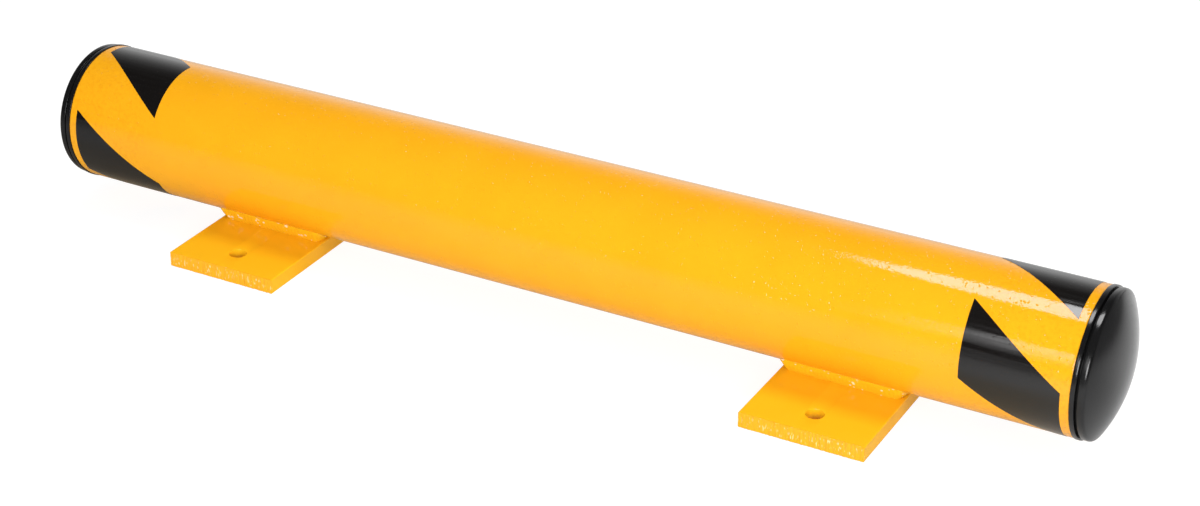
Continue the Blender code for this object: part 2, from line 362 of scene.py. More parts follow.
before_pipe = product(tree, near_pipe, fade(tree, in_front, *PIPE_TO_FRONT))
left_of_cap = one_minus(tree, fade(tree, along, *YELLOW_TO_CAP))
yellow_share = product(tree, before_pipe, left_of_cap)
pale_colour = mix_colours(tree, yellow_share, WHITE, BOUNCED_YELLOW)
pale = add_node(
    tree, "ShaderNodeEmission", {"Color": pale_colour, "Strength": floor_brightness}
).outputs[0]
pale_share = mix_values(tree, far, PALE_SHARE_NEAR, PALE_SHARE_FAR)
for_gloss = mix_shaders(tree, pale_share, floor_light, pale)
print("light from the pipe tints the floor", BOUNCED_YELLOW[:3])

# %% Lay the floor
FLOOR_HALF = 4.0

ray = tree.nodes.new("ShaderNodeLightPath").outputs
unless_camera = mix_shaders(tree, ray["Is Glossy Ray"], floor_light, for_gloss)
floor_surface = mix_shaders(tree, ray["Is Camera Ray"], unless_camera, for_camera)
tree.links.new(floor_surface, tree.nodes["Material Output"].inputs["Surface"])

floor_mesh = bpy.data.meshes.new("floor")
corners = [
    (x * FLOOR_HALF, y * FLOOR_HALF, 0.0) for x, y in ((-1, -1), (1, -1), (1, 1), (-1, 1))
]
floor_mesh.from_pydata(corners, [], [(0, 1, 2, 3)])
floor_mesh.materials.append(floor_material)
floor = bpy.data.objects.new("floor", floor_mesh)
bpy.context.scene.collection.objects.link(floor)
print(f"floor of {2 * FLOOR_HALF:.0f} x {2 * FLOOR_HALF:.0f} m")

# %% [markdown]
# ## Lamps
#
# The bright band along the top of the near end is a round lamp overhead, and the shorter
# streak below it is an upright strip in front, brighter at its top and with a faint glow round
# it. Tracing those reflections back from the pipe gave the size and place of each. A large
# soft lamp at the front right gives most of the light, and the pipe turns its reflection away
# from the camera. Two more lift the plates' side faces and the back. The photograph shows no
# reflection of them, so they are left out of the gloss.

# %% Soft lamps
def add_lamp(name, centre, aim, width, height, brightness, shape="RECTANGLE"):
    """A flat lamp. Its power follows from its area and how bright its surface looks."""
    data = bpy.data.lights.new(name, "AREA")
    data.shape = shape
    data.size = width
    data.size_y = height
    area = width * height * (pi / 4 if shape == "ELLIPSE" else 1)
    data.energy = brightness * pi * area
    lamp = bpy.data.objects.new(name, data)
    direction = (Vector(aim) - Vector(centre)).normalized()
    turned = direction.to_track_quat("-Z", "Y").to_matrix().to_4x4()
    lamp.matrix_world = Matrix.Translation(centre) @ turned
    bpy.context.scene.collection.objects.link(lamp)
    print(f"{name}: {width:.2f} x {height:.2f} m, {data.energy:.1f} W")
    return lamp


# %% Lamps that the paint reflects
PIPE_CENTRE = (0.0, 0.0, 0.07)

add_lamp(
    "overhead_lamp", centre=(0.10, 0.090, 1.5), aim=(0.10, 0.090, 0.0),
    width=0.64, height=0.55, brightness=8.8, shape="ELLIPSE",
)
add_lamp(
    "key_lamp", centre=(0.75, -2.30, 0.80), aim=PIPE_CENTRE,
    width=1.30, height=0.90, brightness=10.2,
)
add_lamp(
    "strip_lamp", centre=(-0.30, -2.5, 1.44), aim=(-0.30, 0.0, 1.44),
    width=0.31, height=0.44, brightness=3.8,
)
add_lamp(
    "strip_foot", centre=(-0.30, -2.5, 1.045), aim=(-0.30, 0.0, 1.045),
    width=0.31, height=0.35, brightness=2.2,
)
add_lamp(
    "strip_glow", centre=(-0.37, -2.5, 1.06), aim=(-0.37, 0.0, 1.06),
    width=0.45, height=0.88, brightness=0.5,
)

# %% Lamps that only light
fill_lamp = add_lamp(
    "fill_lamp", centre=(2.2, -0.9, 1.1), aim=PIPE_CENTRE, width=1.0, height=1.0, brightness=5.0
)
rear_lamp = add_lamp(
    "rear_lamp", centre=(-0.6, 2.3, 1.3), aim=PIPE_CENTRE, width=1.2, height=1.0, brightness=5.0
)
for lamp in (fill_lamp, rear_lamp):
    lamp.visible_glossy = False

# %% [markdown]
# ## Orange peel
#
# Powder paint melts in an oven and never levels out quite flat. It keeps a skin like an
# orange's, which makes the edge of a reflection ragged. It could be modelled, but the waves are
# hundredths of a millimetre high, so two layers of noise drive a bump instead. Every painted
# piece and the film on the pipe share it as one node group.

# %% The orange peel group
FINE_TO_BROAD = 0.35

orange_peel, given, result = new_group(
    "orange_peel", "ShaderNodeTree",
    {"Place": (VECTOR, None), "Wave length": (FLOAT, 0.004), "Fine share": (FLOAT, 0.3)},
    {"Height": (FLOAT, None)},
)
broad = noise(orange_peel, given["Place"], given["Wave length"])
fine_length = product(orange_peel, given["Wave length"], FINE_TO_BROAD)
fine = noise(orange_peel, given["Place"], fine_length)
fine_part = product(orange_peel, fine, given["Fine share"])
orange_peel.links.new(calculate(orange_peel, "ADD", broad, fine_part), result["Height"])

# %% [markdown]
# ## Grains under the paint
#
# Here and there a grain of dust or of unmelted powder stands up under the paint as a round
# pimple, and some show as a darker speck. Voronoi cells give each grain its own centre, and a
# random value for each cell leaves some of them out.

# %% The grains group
SMALLEST_GRAIN = 0.3

grains, given, result = new_group(
    "grains", "ShaderNodeTree",
    {
        "Place": (VECTOR, None),
        "Spacing": (FLOAT, 0.005),
        "Width": (FLOAT, 0.3),
        "Share": (FLOAT, 0.3),
    },
    {"Height": (FLOAT, None)},
)
cells_per_metre = calculate(grains, "DIVIDE", 1.0, given["Spacing"])
cells = add_node(grains, "ShaderNodeTexVoronoi", {"Vector": given["Place"], "Scale": cells_per_metre})
random_values = add_node(grains, "ShaderNodeSeparateColor", {0: cells.outputs["Color"]}).outputs
growth = product(grains, random_values[1], 1 - SMALLEST_GRAIN)
reach = product(grains, calculate(grains, "ADD", growth, SMALLEST_GRAIN), given["Width"])
pimple = one_minus(grains, fade(grains, cells.outputs["Distance"], 0.0, reach))
kept = calculate(grains, "LESS_THAN", random_values[0], given["Share"])
grains.links.new(product(grains, pimple, kept), result["Height"])

# %% [markdown]
# ## Drift of the colour
#
# Paint looks even until it is copied. A real coat is a little thicker in one place than in
# another, and its yellow drifts with it. A slow noise mixes two colours that lie close
# together.

# %% The colour drift group
PATCH_EDGE = (0.35, 0.65)

colour_drift, given, result = new_group(
    "colour_drift", "ShaderNodeTree",
    {
        "Place": (VECTOR, None),
        "Thin colour": (COLOUR, None),
        "Thick colour": (COLOUR, None),
        "Patch size": (FLOAT, 0.06),
    },
    {"Colour": (COLOUR, None)},
)
patches = noise(colour_drift, given["Place"], given["Patch size"], detail=3.0)
thick_share = fade(colour_drift, patches, *PATCH_EDGE)
drifted = mix_colours(colour_drift, thick_share, given["Thin colour"], given["Thick colour"])
colour_drift.links.new(drifted, result["Colour"])

# %% [markdown]
# ## Yellow powder coat
#
# The pipe, the plates and the beads were painted together, so they share one recipe. The powder
# flowed out smooth on the pipe. The plates and the beads get a lighter yellow as painted light,
# the plates' cut ends a darker one as painted shade, and the cut ends and the beads carry
# painted glints. Reflections in clear gloss are white, but in the photograph they are cream, so
# this gloss gives back less green.

# %% A recipe for powder coat
YELLOW = (0.945, 0.427, 0.011, 1)
YELLOW_THICK = (0.925, 0.412, 0.010, 1)
WARM_GLOSS = (1.0, 0.62, 1.0, 1)
PIMPLES = {"Spacing": 3.0 * MM, "Width": 0.42, "Share": 0.60}


def uneven_skin(tree, place, wave_length, peel_height, pimples, pimple_height):
    """The normal of a skin with orange peel and, on top of it, pimples."""
    peel = use_group(tree, orange_peel, {"Place": place, "Wave length": wave_length})["Height"]
    bumps = use_group(tree, grains, {"Place": place, **pimples})["Height"]
    peeled = add_node(tree, "ShaderNodeBump", {"Height": peel, "Distance": peel_height}).outputs[0]
    values = {"Height": bumps, "Distance": pimple_height, "Normal": peeled}
    return add_node(tree, "ShaderNodeBump", values).outputs[0]


def powder_coat(name, thin, thick, roughness, wave_length, peel_height, pimple_height):
    """A coat that drifts between two colours. Wave length and heights are in metres."""
    material, tree, shader, place = new_material(name)
    colours = {"Place": place, "Thin colour": thin, "Thick colour": thick}
    skin = uneven_skin(tree, place, wave_length, peel_height, PIMPLES, pimple_height)
    fill_sockets(
        tree, shader,
        {
            "Base Color": use_group(tree, colour_drift, colours)["Colour"],
            "Roughness": roughness,
            "Specular Tint": WARM_GLOSS,
            "Normal": skin,
        },
    )
    return material, tree, shader, place


def paint_over(tree, shader, share, colour):
    """Lay a second colour over what feeds the shader, where share is above 0."""
    base = shader.inputs["Base Color"]
    tree.links.new(mix_colours(tree, share, base.links[0].from_socket, colour), base)


# %% Paint for the pipe, with darker specks round the striped ends
SPECK_ORANGE = (0.820, 0.270, 0.004, 1)
SPECKS = {"Spacing": 2.6 * MM, "Width": 0.60, "Share": 0.45}
SPECK_STRENGTH = 0.25
MOTTLE_SIZE = 3.0 * MM
MOTTLE_EDGE = (0.45, 0.70)
STRIPED_END = (0.35, 0.38)

pipe_paint, tree, shader, place = powder_coat(
    "pipe_paint", YELLOW, YELLOW_THICK,
    roughness=0.06, wave_length=2.2 * MM, peel_height=0.060 * MM, pimple_height=0.26 * MM,
)
from_middle = calculate(tree, "ABSOLUTE", split(tree, place)["X"])
near_ends = fade(tree, from_middle, *STRIPED_END)
specks = use_group(tree, grains, {"Place": place, **SPECKS})["Height"]
mottle = fade(tree, noise(tree, place, MOTTLE_SIZE, detail=3.0), *MOTTLE_EDGE)
marks = product(tree, calculate(tree, "ADD", specks, mottle), near_ends)
paint_over(tree, shader, product(tree, marks, SPECK_STRENGTH), SPECK_ORANGE)

# %% Paint for the plates, lighter as painted light, with painted shade and glints on the cut ends
# Lighter than the pipe's yellow: painted light on the plates
PLATE_LIT_YELLOW = (0.960, 0.550, 0.014, 1)
PLATE_LIT_YELLOW_THICK = (0.950, 0.535, 0.013, 1)
# A darker yellow on the cut ends: painted shade
CUT_END_SHADED_YELLOW = (0.940, 0.440, 0.013, 1)
# Cream for the painted glints on the cut ends
PAINTED_GLINT_CREAM = (0.960, 0.840, 0.420, 1)
CUT_END_DEPTH = 1.2 * MM
GLINT_DASH_WIDTH = 1.1 * MM
GLINT_DASH_STRETCH = 0.28
GLINT_DASH_EDGE = (0.60, 0.70)
PAINTED_GLINT_STRENGTH = 0.7
CLUSTER_SIZE = 6.0 * MM
CLUSTER_EDGE = (0.40, 0.62)
# Heights between which the painted glints fade in and out
GLINT_LOW = (1.2 * MM, 3.5 * MM)
GLINT_HIGH = (9.5 * MM, 11.8 * MM)

plate_paint, tree, shader, place = powder_coat(
    "plate_paint", PLATE_LIT_YELLOW, PLATE_LIT_YELLOW_THICK,
    roughness=0.12, wave_length=3.5 * MM, peel_height=0.03 * MM, pimple_height=0.04 * MM,
)
on_plate = split(tree, place)
from_middle = calculate(tree, "ABSOLUTE", on_plate["Y"])
depth_in = calculate(tree, "SUBTRACT", plate_half_depth, from_middle)
on_cut_end = calculate(tree, "LESS_THAN", depth_in, CUT_END_DEPTH)
low_height = product(tree, on_plate["Z"], GLINT_DASH_STRETCH)
glint_place = combine(tree, on_plate["X"], on_plate["Y"], low_height)
glint_dashes = fade(tree, noise(tree, glint_place, GLINT_DASH_WIDTH, detail=0.0), *GLINT_DASH_EDGE)
clusters = fade(tree, noise(tree, place, CLUSTER_SIZE), *CLUSTER_EDGE)
low_part = fade(tree, on_plate["Z"], *GLINT_LOW)
high_part = one_minus(tree, fade(tree, on_plate["Z"], *GLINT_HIGH))
painted_glints = product(tree, glint_dashes, clusters, on_cut_end, low_part, high_part)
# The cut ends get their darker yellow, painted shade
paint_over(tree, shader, on_cut_end, CUT_END_SHADED_YELLOW)
# Cream dashes over the cut ends: painted glints
paint_over(tree, shader, product(tree, painted_glints, PAINTED_GLINT_STRENGTH), PAINTED_GLINT_CREAM)

# %% Paint for the beads, lighter as painted light, with painted glints dotted over them
# Lighter than the pipe's yellow: painted light on the beads
WELD_LIT_YELLOW = (0.970, 0.560, 0.015, 1)
# Cream dots over the beads: painted glints
WELD_PAINTED_GLINT = (0.980, 0.930, 0.680, 1)
GLINT_SPOTS = {"Spacing": 3.8 * MM, "Width": 0.62, "Share": 0.65}
GLINT_SPOT_EDGE = (0.1, 0.4)
PAINTED_GLINT_SPOT_SHARE = 0.95
GLINT_SPOT_FIELD = 14.0 * MM
FIELD_EDGE = (0.46, 0.54)

weld_paint, tree, shader, place = powder_coat(
    "weld_paint", WELD_LIT_YELLOW, PLATE_LIT_YELLOW,
    roughness=0.08, wave_length=2.0 * MM, peel_height=0.25 * MM, pimple_height=0.3 * MM,
)
glint_spots = use_group(tree, grains, {"Place": place, **GLINT_SPOTS})["Height"]
in_places = fade(tree, noise(tree, place, GLINT_SPOT_FIELD), *FIELD_EDGE)
painted_glints = product(tree, fade(tree, glint_spots, *GLINT_SPOT_EDGE), in_places)
# Lay the painted glints over the bead's yellow
paint_over(tree, shader, product(tree, painted_glints, PAINTED_GLINT_SPOT_SHARE), WELD_PAINTED_GLINT)

# %% [markdown]
# ## Black film
#
# The stripes are nearly as glossy as the paint and follow its skin, so they share the orange
# peel and the grains. Film is drawn out as it is made, which leaves fine lines along it and
# an uneven shine. A noise drawn out along the pipe gives those lines.

# %% Film for the stripes
FILM_BLACK = (0.0080, 0.0070, 0.0066, 1)
FILM_IOR = 1.62
LINE_WIDTH = 3.0 * MM
LINE_STRETCH = 0.03
LINE_SPREAD = (0.35, 0.65)
FILM_ROUGHNESS = (0.08, 0.22)
FILM_PIMPLES = {"Spacing": 3.5 * MM, "Width": 0.35, "Share": 0.55}

stripe_film, tree, shader, place = new_material("stripe_film")
on_film = split(tree, place)
line_place = combine(tree, product(tree, on_film["X"], LINE_STRETCH), on_film["Y"], on_film["Z"])
lines = noise(tree, line_place, LINE_WIDTH, detail=2.0)
film_skin = uneven_skin(
    tree, place, wave_length=3.0 * MM, peel_height=0.013 * MM,
    pimples=FILM_PIMPLES, pimple_height=0.05 * MM,
)
fill_sockets(
    tree, shader,
    {
        "Base Color": FILM_BLACK,
        "IOR": FILM_IOR,
        "Roughness": stretch(tree, lines, LINE_SPREAD, FILM_ROUGHNESS),
        "Normal": film_skin,
    },
)

# %% [markdown]
# ## Black plastic
#
# The caps are moulded, softer in their shine, and scuffed round and round where they were
# pressed in. So the scuffs are a noise in the cap's own round coordinates, its radius and its
# turn. The groove next to the flange lies in shade, so a mask dims its shine there as painted
# shade.

# %% Round coordinates on a cap
cap_plastic, tree, shader, place = new_material("cap_plastic")
from_axis = add_node(
    tree, "ShaderNodeVectorMath", {0: place, 1: (0.0, 0.0, pipe_axis)}, operation="SUBTRACT"
).outputs[0]
across = split(tree, from_axis)
turn = calculate(tree, "ARCTAN2", across["Z"], across["Y"])
radius_squared = calculate(
    tree, "ADD",
    product(tree, across["Y"], across["Y"]), product(tree, across["Z"], across["Z"]),
)
radius = calculate(tree, "SQRT", radius_squared)
past_end = calculate(tree, "SUBTRACT", calculate(tree, "ABSOLUTE", across["X"]), pipe_end)

# %% A mask for the groove
FLANGE_THICKNESS = 3.3 * MM
GROOVE_WIDTH = 2.0 * MM
GROOVE_START = (FLANGE_THICKNESS, FLANGE_THICKNESS + 0.4 * MM)
GROOVE_END = (FLANGE_THICKNESS + GROOVE_WIDTH, FLANGE_THICKNESS + GROOVE_WIDTH + 0.5 * MM)
GROOVE_TOP = (pipe_radius - 1.6 * MM, pipe_radius - 0.8 * MM)

# The groove's shine is dimmed here as painted shade
below_rim = one_minus(tree, fade(tree, radius, *GROOVE_TOP))
past_flange = fade(tree, past_end, *GROOVE_START)
before_rim = one_minus(tree, fade(tree, past_end, *GROOVE_END))
in_groove = product(tree, below_rim, past_flange, before_rim)
print(f"the groove starts {FLANGE_THICKNESS / MM:.1f} mm out, {GROOVE_WIDTH / MM:.1f} mm wide")

# %% Plastic for the caps
CAP_BLACK = (0.008, 0.008, 0.0082, 1)
CAP_SHINE = 0.5
SHADED_GROOVE_SHINE = 0.05
SCUFF_WIDTH = 1.5 * MM
SCUFF_STRETCH = 2.0 * MM
SCUFF_SPREAD = (0.3, 0.7)
CAP_ROUGHNESS = (0.10, 0.20)
MOULD_GRAIN = 1.2 * MM
MOULD_GRAIN_HEIGHT = 0.03 * MM

scuff_place = combine(tree, radius, product(tree, turn, SCUFF_STRETCH))
scuffs = noise(tree, scuff_place, SCUFF_WIDTH, detail=3.0)
moulded_grain = noise(tree, place, MOULD_GRAIN, detail=2.0)
grain_bump = add_node(
    tree, "ShaderNodeBump", {"Height": moulded_grain, "Distance": MOULD_GRAIN_HEIGHT}
)
fill_sockets(
    tree, shader,
    {
        "Base Color": CAP_BLACK,
        "Roughness": stretch(tree, scuffs, SCUFF_SPREAD, CAP_ROUGHNESS),
        "Specular IOR Level": mix_values(tree, in_groove, CAP_SHINE, SHADED_GROOVE_SHINE),
        "Normal": grain_bump.outputs[0],
    },
)

# %% [markdown]
# ## Helpers for shapes
#
# The pipe and the caps are turned shapes, and the plates and beads are rows of sections. Both
# kinds are made of rings of points joined by faces, so one function joins rings. Another
# rounds the corners of a profile, because a sharp corner is what gives a computed shape away.

# %% Rings, arcs and rounded corners
LONGEST_REACH = 0.45


def join_rings(bm, rings, closed):
    """Faces between each ring and the next, and between last and first if closed."""
    following = rings[1:] + rings[:1] if closed else rings[1:]
    for ring, other in zip(rings, following):
        for i in range(len(ring)):
            j = (i + 1) % len(ring)
            bm.faces.new((ring[i], ring[j], other[j], other[i]))


def arc(centre, radius, start, end, steps):
    """Points of an arc in a profile, both ends included."""
    angles = [start + (end - start) * i / steps for i in range(steps + 1)]
    return [(centre[0] + radius * cos(a), centre[1] + radius * sin(a)) for a in angles]


def round_corner(before, corner, after, radius, steps):
    """A corner of a profile, replaced by a short curve of about the given radius."""
    corner = Vector(corner)
    back = Vector(before) - corner
    ahead = Vector(after) - corner
    reach = min(radius, back.length * LONGEST_REACH, ahead.length * LONGEST_REACH)
    start = corner + back.normalized() * reach
    end = corner + ahead.normalized() * reach
    points = []
    for i in range(steps + 1):
        t = i / steps
        points.append(tuple(start * (1 - t) ** 2 + corner * 2 * t * (1 - t) + end * t ** 2))
    return points


def round_profile(profile, radii, steps=3):
    """Round each corner of a closed profile by its own radius. A radius of 0 keeps it."""
    points = []
    count = len(profile)
    for i, radius in enumerate(radii):
        if radius:
            points += round_corner(
                profile[i - 1], profile[i], profile[(i + 1) % count], radius, steps
            )
        else:
            points.append(tuple(profile[i]))
    return points


def on_pipe(x, angle, radius):
    """A point round the pipe's axis. The angle is 0 at the front and 90 degrees on top."""
    return Vector((x, -radius * cos(angle), pipe_axis + radius * sin(angle)))


def turn_profile(bm, profile, steps):
    """Turn a closed profile of (x, radius) points about the pipe's axis."""
    rings = []
    for i in range(steps):
        angle = 2 * pi * i / steps
        rings.append([bm.verts.new(on_pipe(x, angle, radius)) for x, radius in profile])
    join_rings(bm, rings, closed=True)


# %% Finished pieces
def new_object(name, bm, material):
    bmesh.ops.recalc_face_normals(bm, faces=bm.faces)
    mesh = bpy.data.meshes.new(name)
    bm.to_mesh(mesh)
    bm.free()
    mesh.materials.append(material)
    obj = bpy.data.objects.new(name, mesh)
    bpy.context.scene.collection.objects.link(obj)
    return obj


def apply_modifiers(obj):
    """Swap the object's mesh for the one its modifiers make, and drop the modifiers."""
    depsgraph = bpy.context.evaluated_depsgraph_get()
    obj.data = bpy.data.meshes.new_from_object(obj.evaluated_get(depsgraph))
    obj.modifiers.clear()


def finish_piece(obj, node, sharp=radians(40)):
    """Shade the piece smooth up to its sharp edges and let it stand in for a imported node."""
    obj.data.shade_smooth()
    obj.data.set_sharp_from_angle(angle=sharp)
    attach(obj, "root")
    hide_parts(node)
    print(f"{obj.name}: {len(obj.data.polygons)} faces for {node}")


# %% [markdown]
# ## Pipe
#
# A rolled and welded steel pipe, sawn to length. A cylinder with a bevel would do from far
# away, but the pipe carries the longest highlights in the picture, so it is turned from a
# profile with enough steps round it that its outline stays round. A ring of points two
# millimetres from each end keeps the rounded edge from tilting the smooth shading of the
# whole pipe.

# %% Turn the pipe
PIPE_STEPS = 240
SAWN_EDGE = 0.8 * MM
SAWN_EDGE_STEPS = 4
FLAT_MARGIN = 2.0 * MM

straight_end = pipe_end - FLAT_MARGIN
pipe_profile = [
    (-pipe_end, pipe_radius),
    (-straight_end, pipe_radius),
    (straight_end, pipe_radius),
    (pipe_end, pipe_radius),
    (pipe_end, bore_radius),
    (-pipe_end, bore_radius),
]
pipe_corners = [SAWN_EDGE, 0, 0, SAWN_EDGE, 0, 0]
bm = bmesh.new()
turn_profile(bm, round_profile(pipe_profile, pipe_corners, SAWN_EDGE_STEPS), PIPE_STEPS)
pipe = new_object("fine_pipe", bm, pipe_paint)
finish_piece(pipe, "pipe")

# %% [markdown]
# ## Base plates
#
# Each plate was sheared from flat bar, so its two long edges are clean and its cut ends carry
# upright tear marks. Their glints are painted on as cream dashes, a painted highlight, over a
# darker yellow of painted shade. The plate is built as a row of sections half a millimetre
# apart, its holes are cut, and then a rule roughens its cut ends.

# %% [markdown]
# ### Shear marks
#
# The marks could be painted on as bump, but they break the plate's bottom line too. A geometry
# nodes group moves the end faces inwards by a noise that changes along the cut and hardly
# at all down its thickness, which is how a shear blade tears steel.

# %% The shear marks group
MARK_EDGE = (0.35, 0.65)

shear_marks, given, result = new_group(
    "shear_marks", "GeometryNodeTree",
    {
        "Geometry": (GEOMETRY, None),
        "Depth": (FLOAT, 0.0003),
        "Mark width": (FLOAT, 0.004),
        "Upright stretch": (FLOAT, 0.12),
        "Material": (MATERIAL, None),
    },
    {"Geometry": (GEOMETRY, None)},
)
place = shear_marks.nodes.new("GeometryNodeInputPosition").outputs[0]
on_plate = split(shear_marks, place)
low_height = product(shear_marks, on_plate["Z"], given["Upright stretch"])
mark_place = combine(shear_marks, on_plate["X"], on_plate["Y"], low_height)
marks = noise(shear_marks, mark_place, given["Mark width"], detail=2.0)
inwards = product(shear_marks, calculate(shear_marks, "SIGN", on_plate["Y"]), -1.0)
on_cut_end = add_node(
    shear_marks, "GeometryNodeInputNamedAttribute", {"Name": "cut_end"}, data_type="FLOAT"
).outputs[0]
mark_shape = fade(shear_marks, marks, *MARK_EDGE)
move = product(shear_marks, mark_shape, on_cut_end, given["Depth"], inwards)
offset = combine(shear_marks, y=move)


def end_group(group, given, offset, result):
    """Move the group's geometry by offset, make it real, coat it and pass it out."""
    moving = {"Geometry": given["Geometry"], "Offset": offset}
    moved = add_node(group, "GeometryNodeSetPosition", moving).outputs[0]
    realized = add_node(group, "GeometryNodeRealizeInstances", {"Geometry": moved}).outputs[0]
    coating = {"Geometry": realized, "Material": given["Material"]}
    coated = add_node(group, "GeometryNodeSetMaterial", coating).outputs[0]
    group.links.new(coated, result["Geometry"])
    print(f"rule {group.name}: {len(group.nodes)} nodes")


end_group(shear_marks, given, offset, result)

# %% Apply a rule to a piece
def apply_rule(obj, group, values):
    """Run a geometry nodes group on a piece, with its inputs given by name."""
    modifier = obj.modifiers.new(group.name, "NODES")
    modifier.node_group = group
    for item in group.interface.items_tree:
        if item.item_type == "SOCKET" and item.in_out == "INPUT" and item.name in values:
            modifier[item.identifier] = values[item.name]
    apply_modifiers(obj)


# %% Sections of a plate
PLATE_EDGE = 0.8 * MM
PLATE_EDGE_STEPS = 3
SMALLEST_CORNER = 0.2 * MM
SIDE_MARGIN = 0.5 * MM
SECTION_STEP = 0.5 * MM
END_ROWS = 12


def plate_section(inset, corner):
    """Outline (y, z) of a plate, with rows of points up both cut ends."""
    y = plate_half_depth - inset
    low, high = inset, plate_top - inset
    right = [(y, low + (high - low) * i / END_ROWS) for i in range(END_ROWS + 1)]
    right = [(y - FLAT_MARGIN, low), *right, (y - FLAT_MARGIN, high)]
    left = [(-a, b) for a, b in reversed(right)]
    outline = right + left
    radii = [0.0] * len(outline)
    # The four corners between the cut ends and the flat faces
    for i in (1, END_ROWS + 1, END_ROWS + 4, len(outline) - 2):
        radii[i] = corner
    return round_profile(outline, radii, steps=3)


def plate_stations():
    """Places across the plate's width as (x, how far the section draws in there)."""
    turns = [pi / 2 * i / PLATE_EDGE_STEPS for i in range(PLATE_EDGE_STEPS)]
    straight = plate_half_width - PLATE_EDGE
    count = round(2 * straight / SECTION_STEP)
    middle = [(straight * (2 * i / count - 1), 0.0) for i in range(1, count)]
    rise = [(-plate_half_width + PLATE_EDGE * (1 - cos(a)), PLATE_EDGE * (1 - sin(a))) for a in turns]
    rise += [(-straight, 0.0)]
    return rise + middle + [(-x, inset) for x, inset in reversed(rise)]


print(len(plate_stations()), "sections across a plate")

# %% Cut the anchor holes and mark the cut ends
HOLE_RADIUS = 14.29 / 2 * MM
HOLE_TO_EDGE = 25.4 * MM
HOLE_EDGE = 0.5 * MM
HOLE_EDGE_STEPS = 4
HOLE_STEPS = 96


def cut_hole(obj, x, y):
    """Cut one anchor hole right through a plate."""
    mouth = HOLE_RADIUS + HOLE_EDGE
    profile = [(mouth, 2 * plate_top)]
    profile += arc((mouth, plate_top - HOLE_EDGE), HOLE_EDGE, pi / 2, pi, HOLE_EDGE_STEPS)
    profile += [(radius, plate_top - z) for radius, z in reversed(profile)]
    bm = bmesh.new()
    rings = []
    for i in range(HOLE_STEPS):
        turn = 2 * pi * i / HOLE_STEPS
        rings.append([bm.verts.new((x + r * cos(turn), y + r * sin(turn), z)) for r, z in profile])
    for ring, other in zip(rings, rings[1:] + rings[:1]):
        for i in range(len(ring) - 1):
            bm.faces.new((ring[i], ring[i + 1], other[i + 1], other[i]))
    bm.faces.new([ring[0] for ring in rings])
    bm.faces.new([ring[-1] for ring in rings])
    cutter = new_object("hole_cutter", bm, plate_paint)
    hole = obj.modifiers.new("Hole", "BOOLEAN")
    hole.operation = "DIFFERENCE"
    hole.solver = "EXACT"
    hole.object = cutter
    apply_modifiers(obj)
    bpy.data.objects.remove(cutter, do_unlink=True)


def mark_cut_ends(obj):
    """Store on each point whether it lies on a cut end, for the shear marks."""
    weights = obj.data.attributes.new("cut_end", "FLOAT", "POINT")
    for vert, weight in zip(obj.data.vertices, weights.data):
        depth_in = plate_half_depth - abs(vert.co.y)
        weight.value = max(0.0, 1.0 - depth_in / PLATE_EDGE)


# %% Make both plates
TEAR_MARKS = {"Depth": 0.6 * MM, "Mark width": 1.6 * MM}

for side, sign in SIDES.items():
    middle = sign * plate_centre
    bm = bmesh.new()
    rings = []
    stations = plate_stations()
    side_edge, side_inset = stations[-1]
    flat_edge = (side_edge, side_inset + SIDE_MARGIN)
    for x, inset in [(-side_edge, flat_edge[1]), *stations, flat_edge]:
        section = plate_section(inset, max(PLATE_EDGE - inset, SMALLEST_CORNER))
        rings.append([bm.verts.new((middle + x, y, z)) for y, z in section])
    join_rings(bm, rings, closed=False)
    bm.faces.new(rings[0])
    bm.faces.new(rings[-1])
    plate = new_object(f"fine_plate_{side}", bm, plate_paint)
    for face, face_sign in FACES.items():
        cut_hole(plate, middle, face_sign * (plate_half_depth - HOLE_TO_EDGE))
    mark_cut_ends(plate)
    apply_rule(plate, shear_marks, {**TEAR_MARKS, "Material": plate_paint})
    finish_piece(plate, f"base_plate_{side}")

# %% [markdown]
# ## Weld beads
#
# The pipe curves down to each plate and leaves a narrowing groove, which the welder filled from
# both sides. The bead's back follows the pipe, its floor lies on the plate and its face bulges
# a little. Its ends round off and flare out along the pipe, where the welder drew the torch
# away.

# %% [markdown]
# ### Ripples
#
# A bead freezes in small waves, each the edge of the pool as the torch moved on. Drawn by hand
# they look mechanical, so a rule makes them: crescents along the bead, their spacing bent by
# noise, with slow lumps on top. They fade to nothing at both toes.

# %% The weld ripples group
MEAN_OF_WAVE = 0.64
MEAN_OF_NOISE = 0.5
WANDER_LENGTH = 15.0 * MM

weld_ripples, given, result = new_group(
    "weld_ripples", "GeometryNodeTree",
    {
        "Geometry": (GEOMETRY, None),
        "Pitch": (FLOAT, 0.0034),
        "Height": (FLOAT, 0.0002),
        "Crescent": (FLOAT, 0.0025),
        "Unevenness": (FLOAT, 0.0020),
        "Lump size": (FLOAT, 0.012),
        "Lump height": (FLOAT, 0.0010),
        "Material": (MATERIAL, None),
    },
    {"Geometry": (GEOMETRY, None)},
)
place = weld_ripples.nodes.new("GeometryNodeInputPosition").outputs[0]
normal = weld_ripples.nodes.new("GeometryNodeInputNormal").outputs[0]
on_face = add_node(
    weld_ripples, "GeometryNodeInputNamedAttribute", {"Name": "weld_face"}, data_type="FLOAT"
).outputs[0]
along = split(weld_ripples, place)["X"]
bend = product(weld_ripples, on_face, given["Crescent"])
wander = product(weld_ripples, noise(weld_ripples, place, WANDER_LENGTH), given["Unevenness"])
bent_along = calculate(weld_ripples, "ADD", calculate(weld_ripples, "ADD", along, bend), wander)
waves_along = calculate(weld_ripples, "DIVIDE", bent_along, given["Pitch"])
sine = calculate(weld_ripples, "SINE", product(weld_ripples, waves_along, pi))
wave = calculate(weld_ripples, "ABSOLUTE", sine)
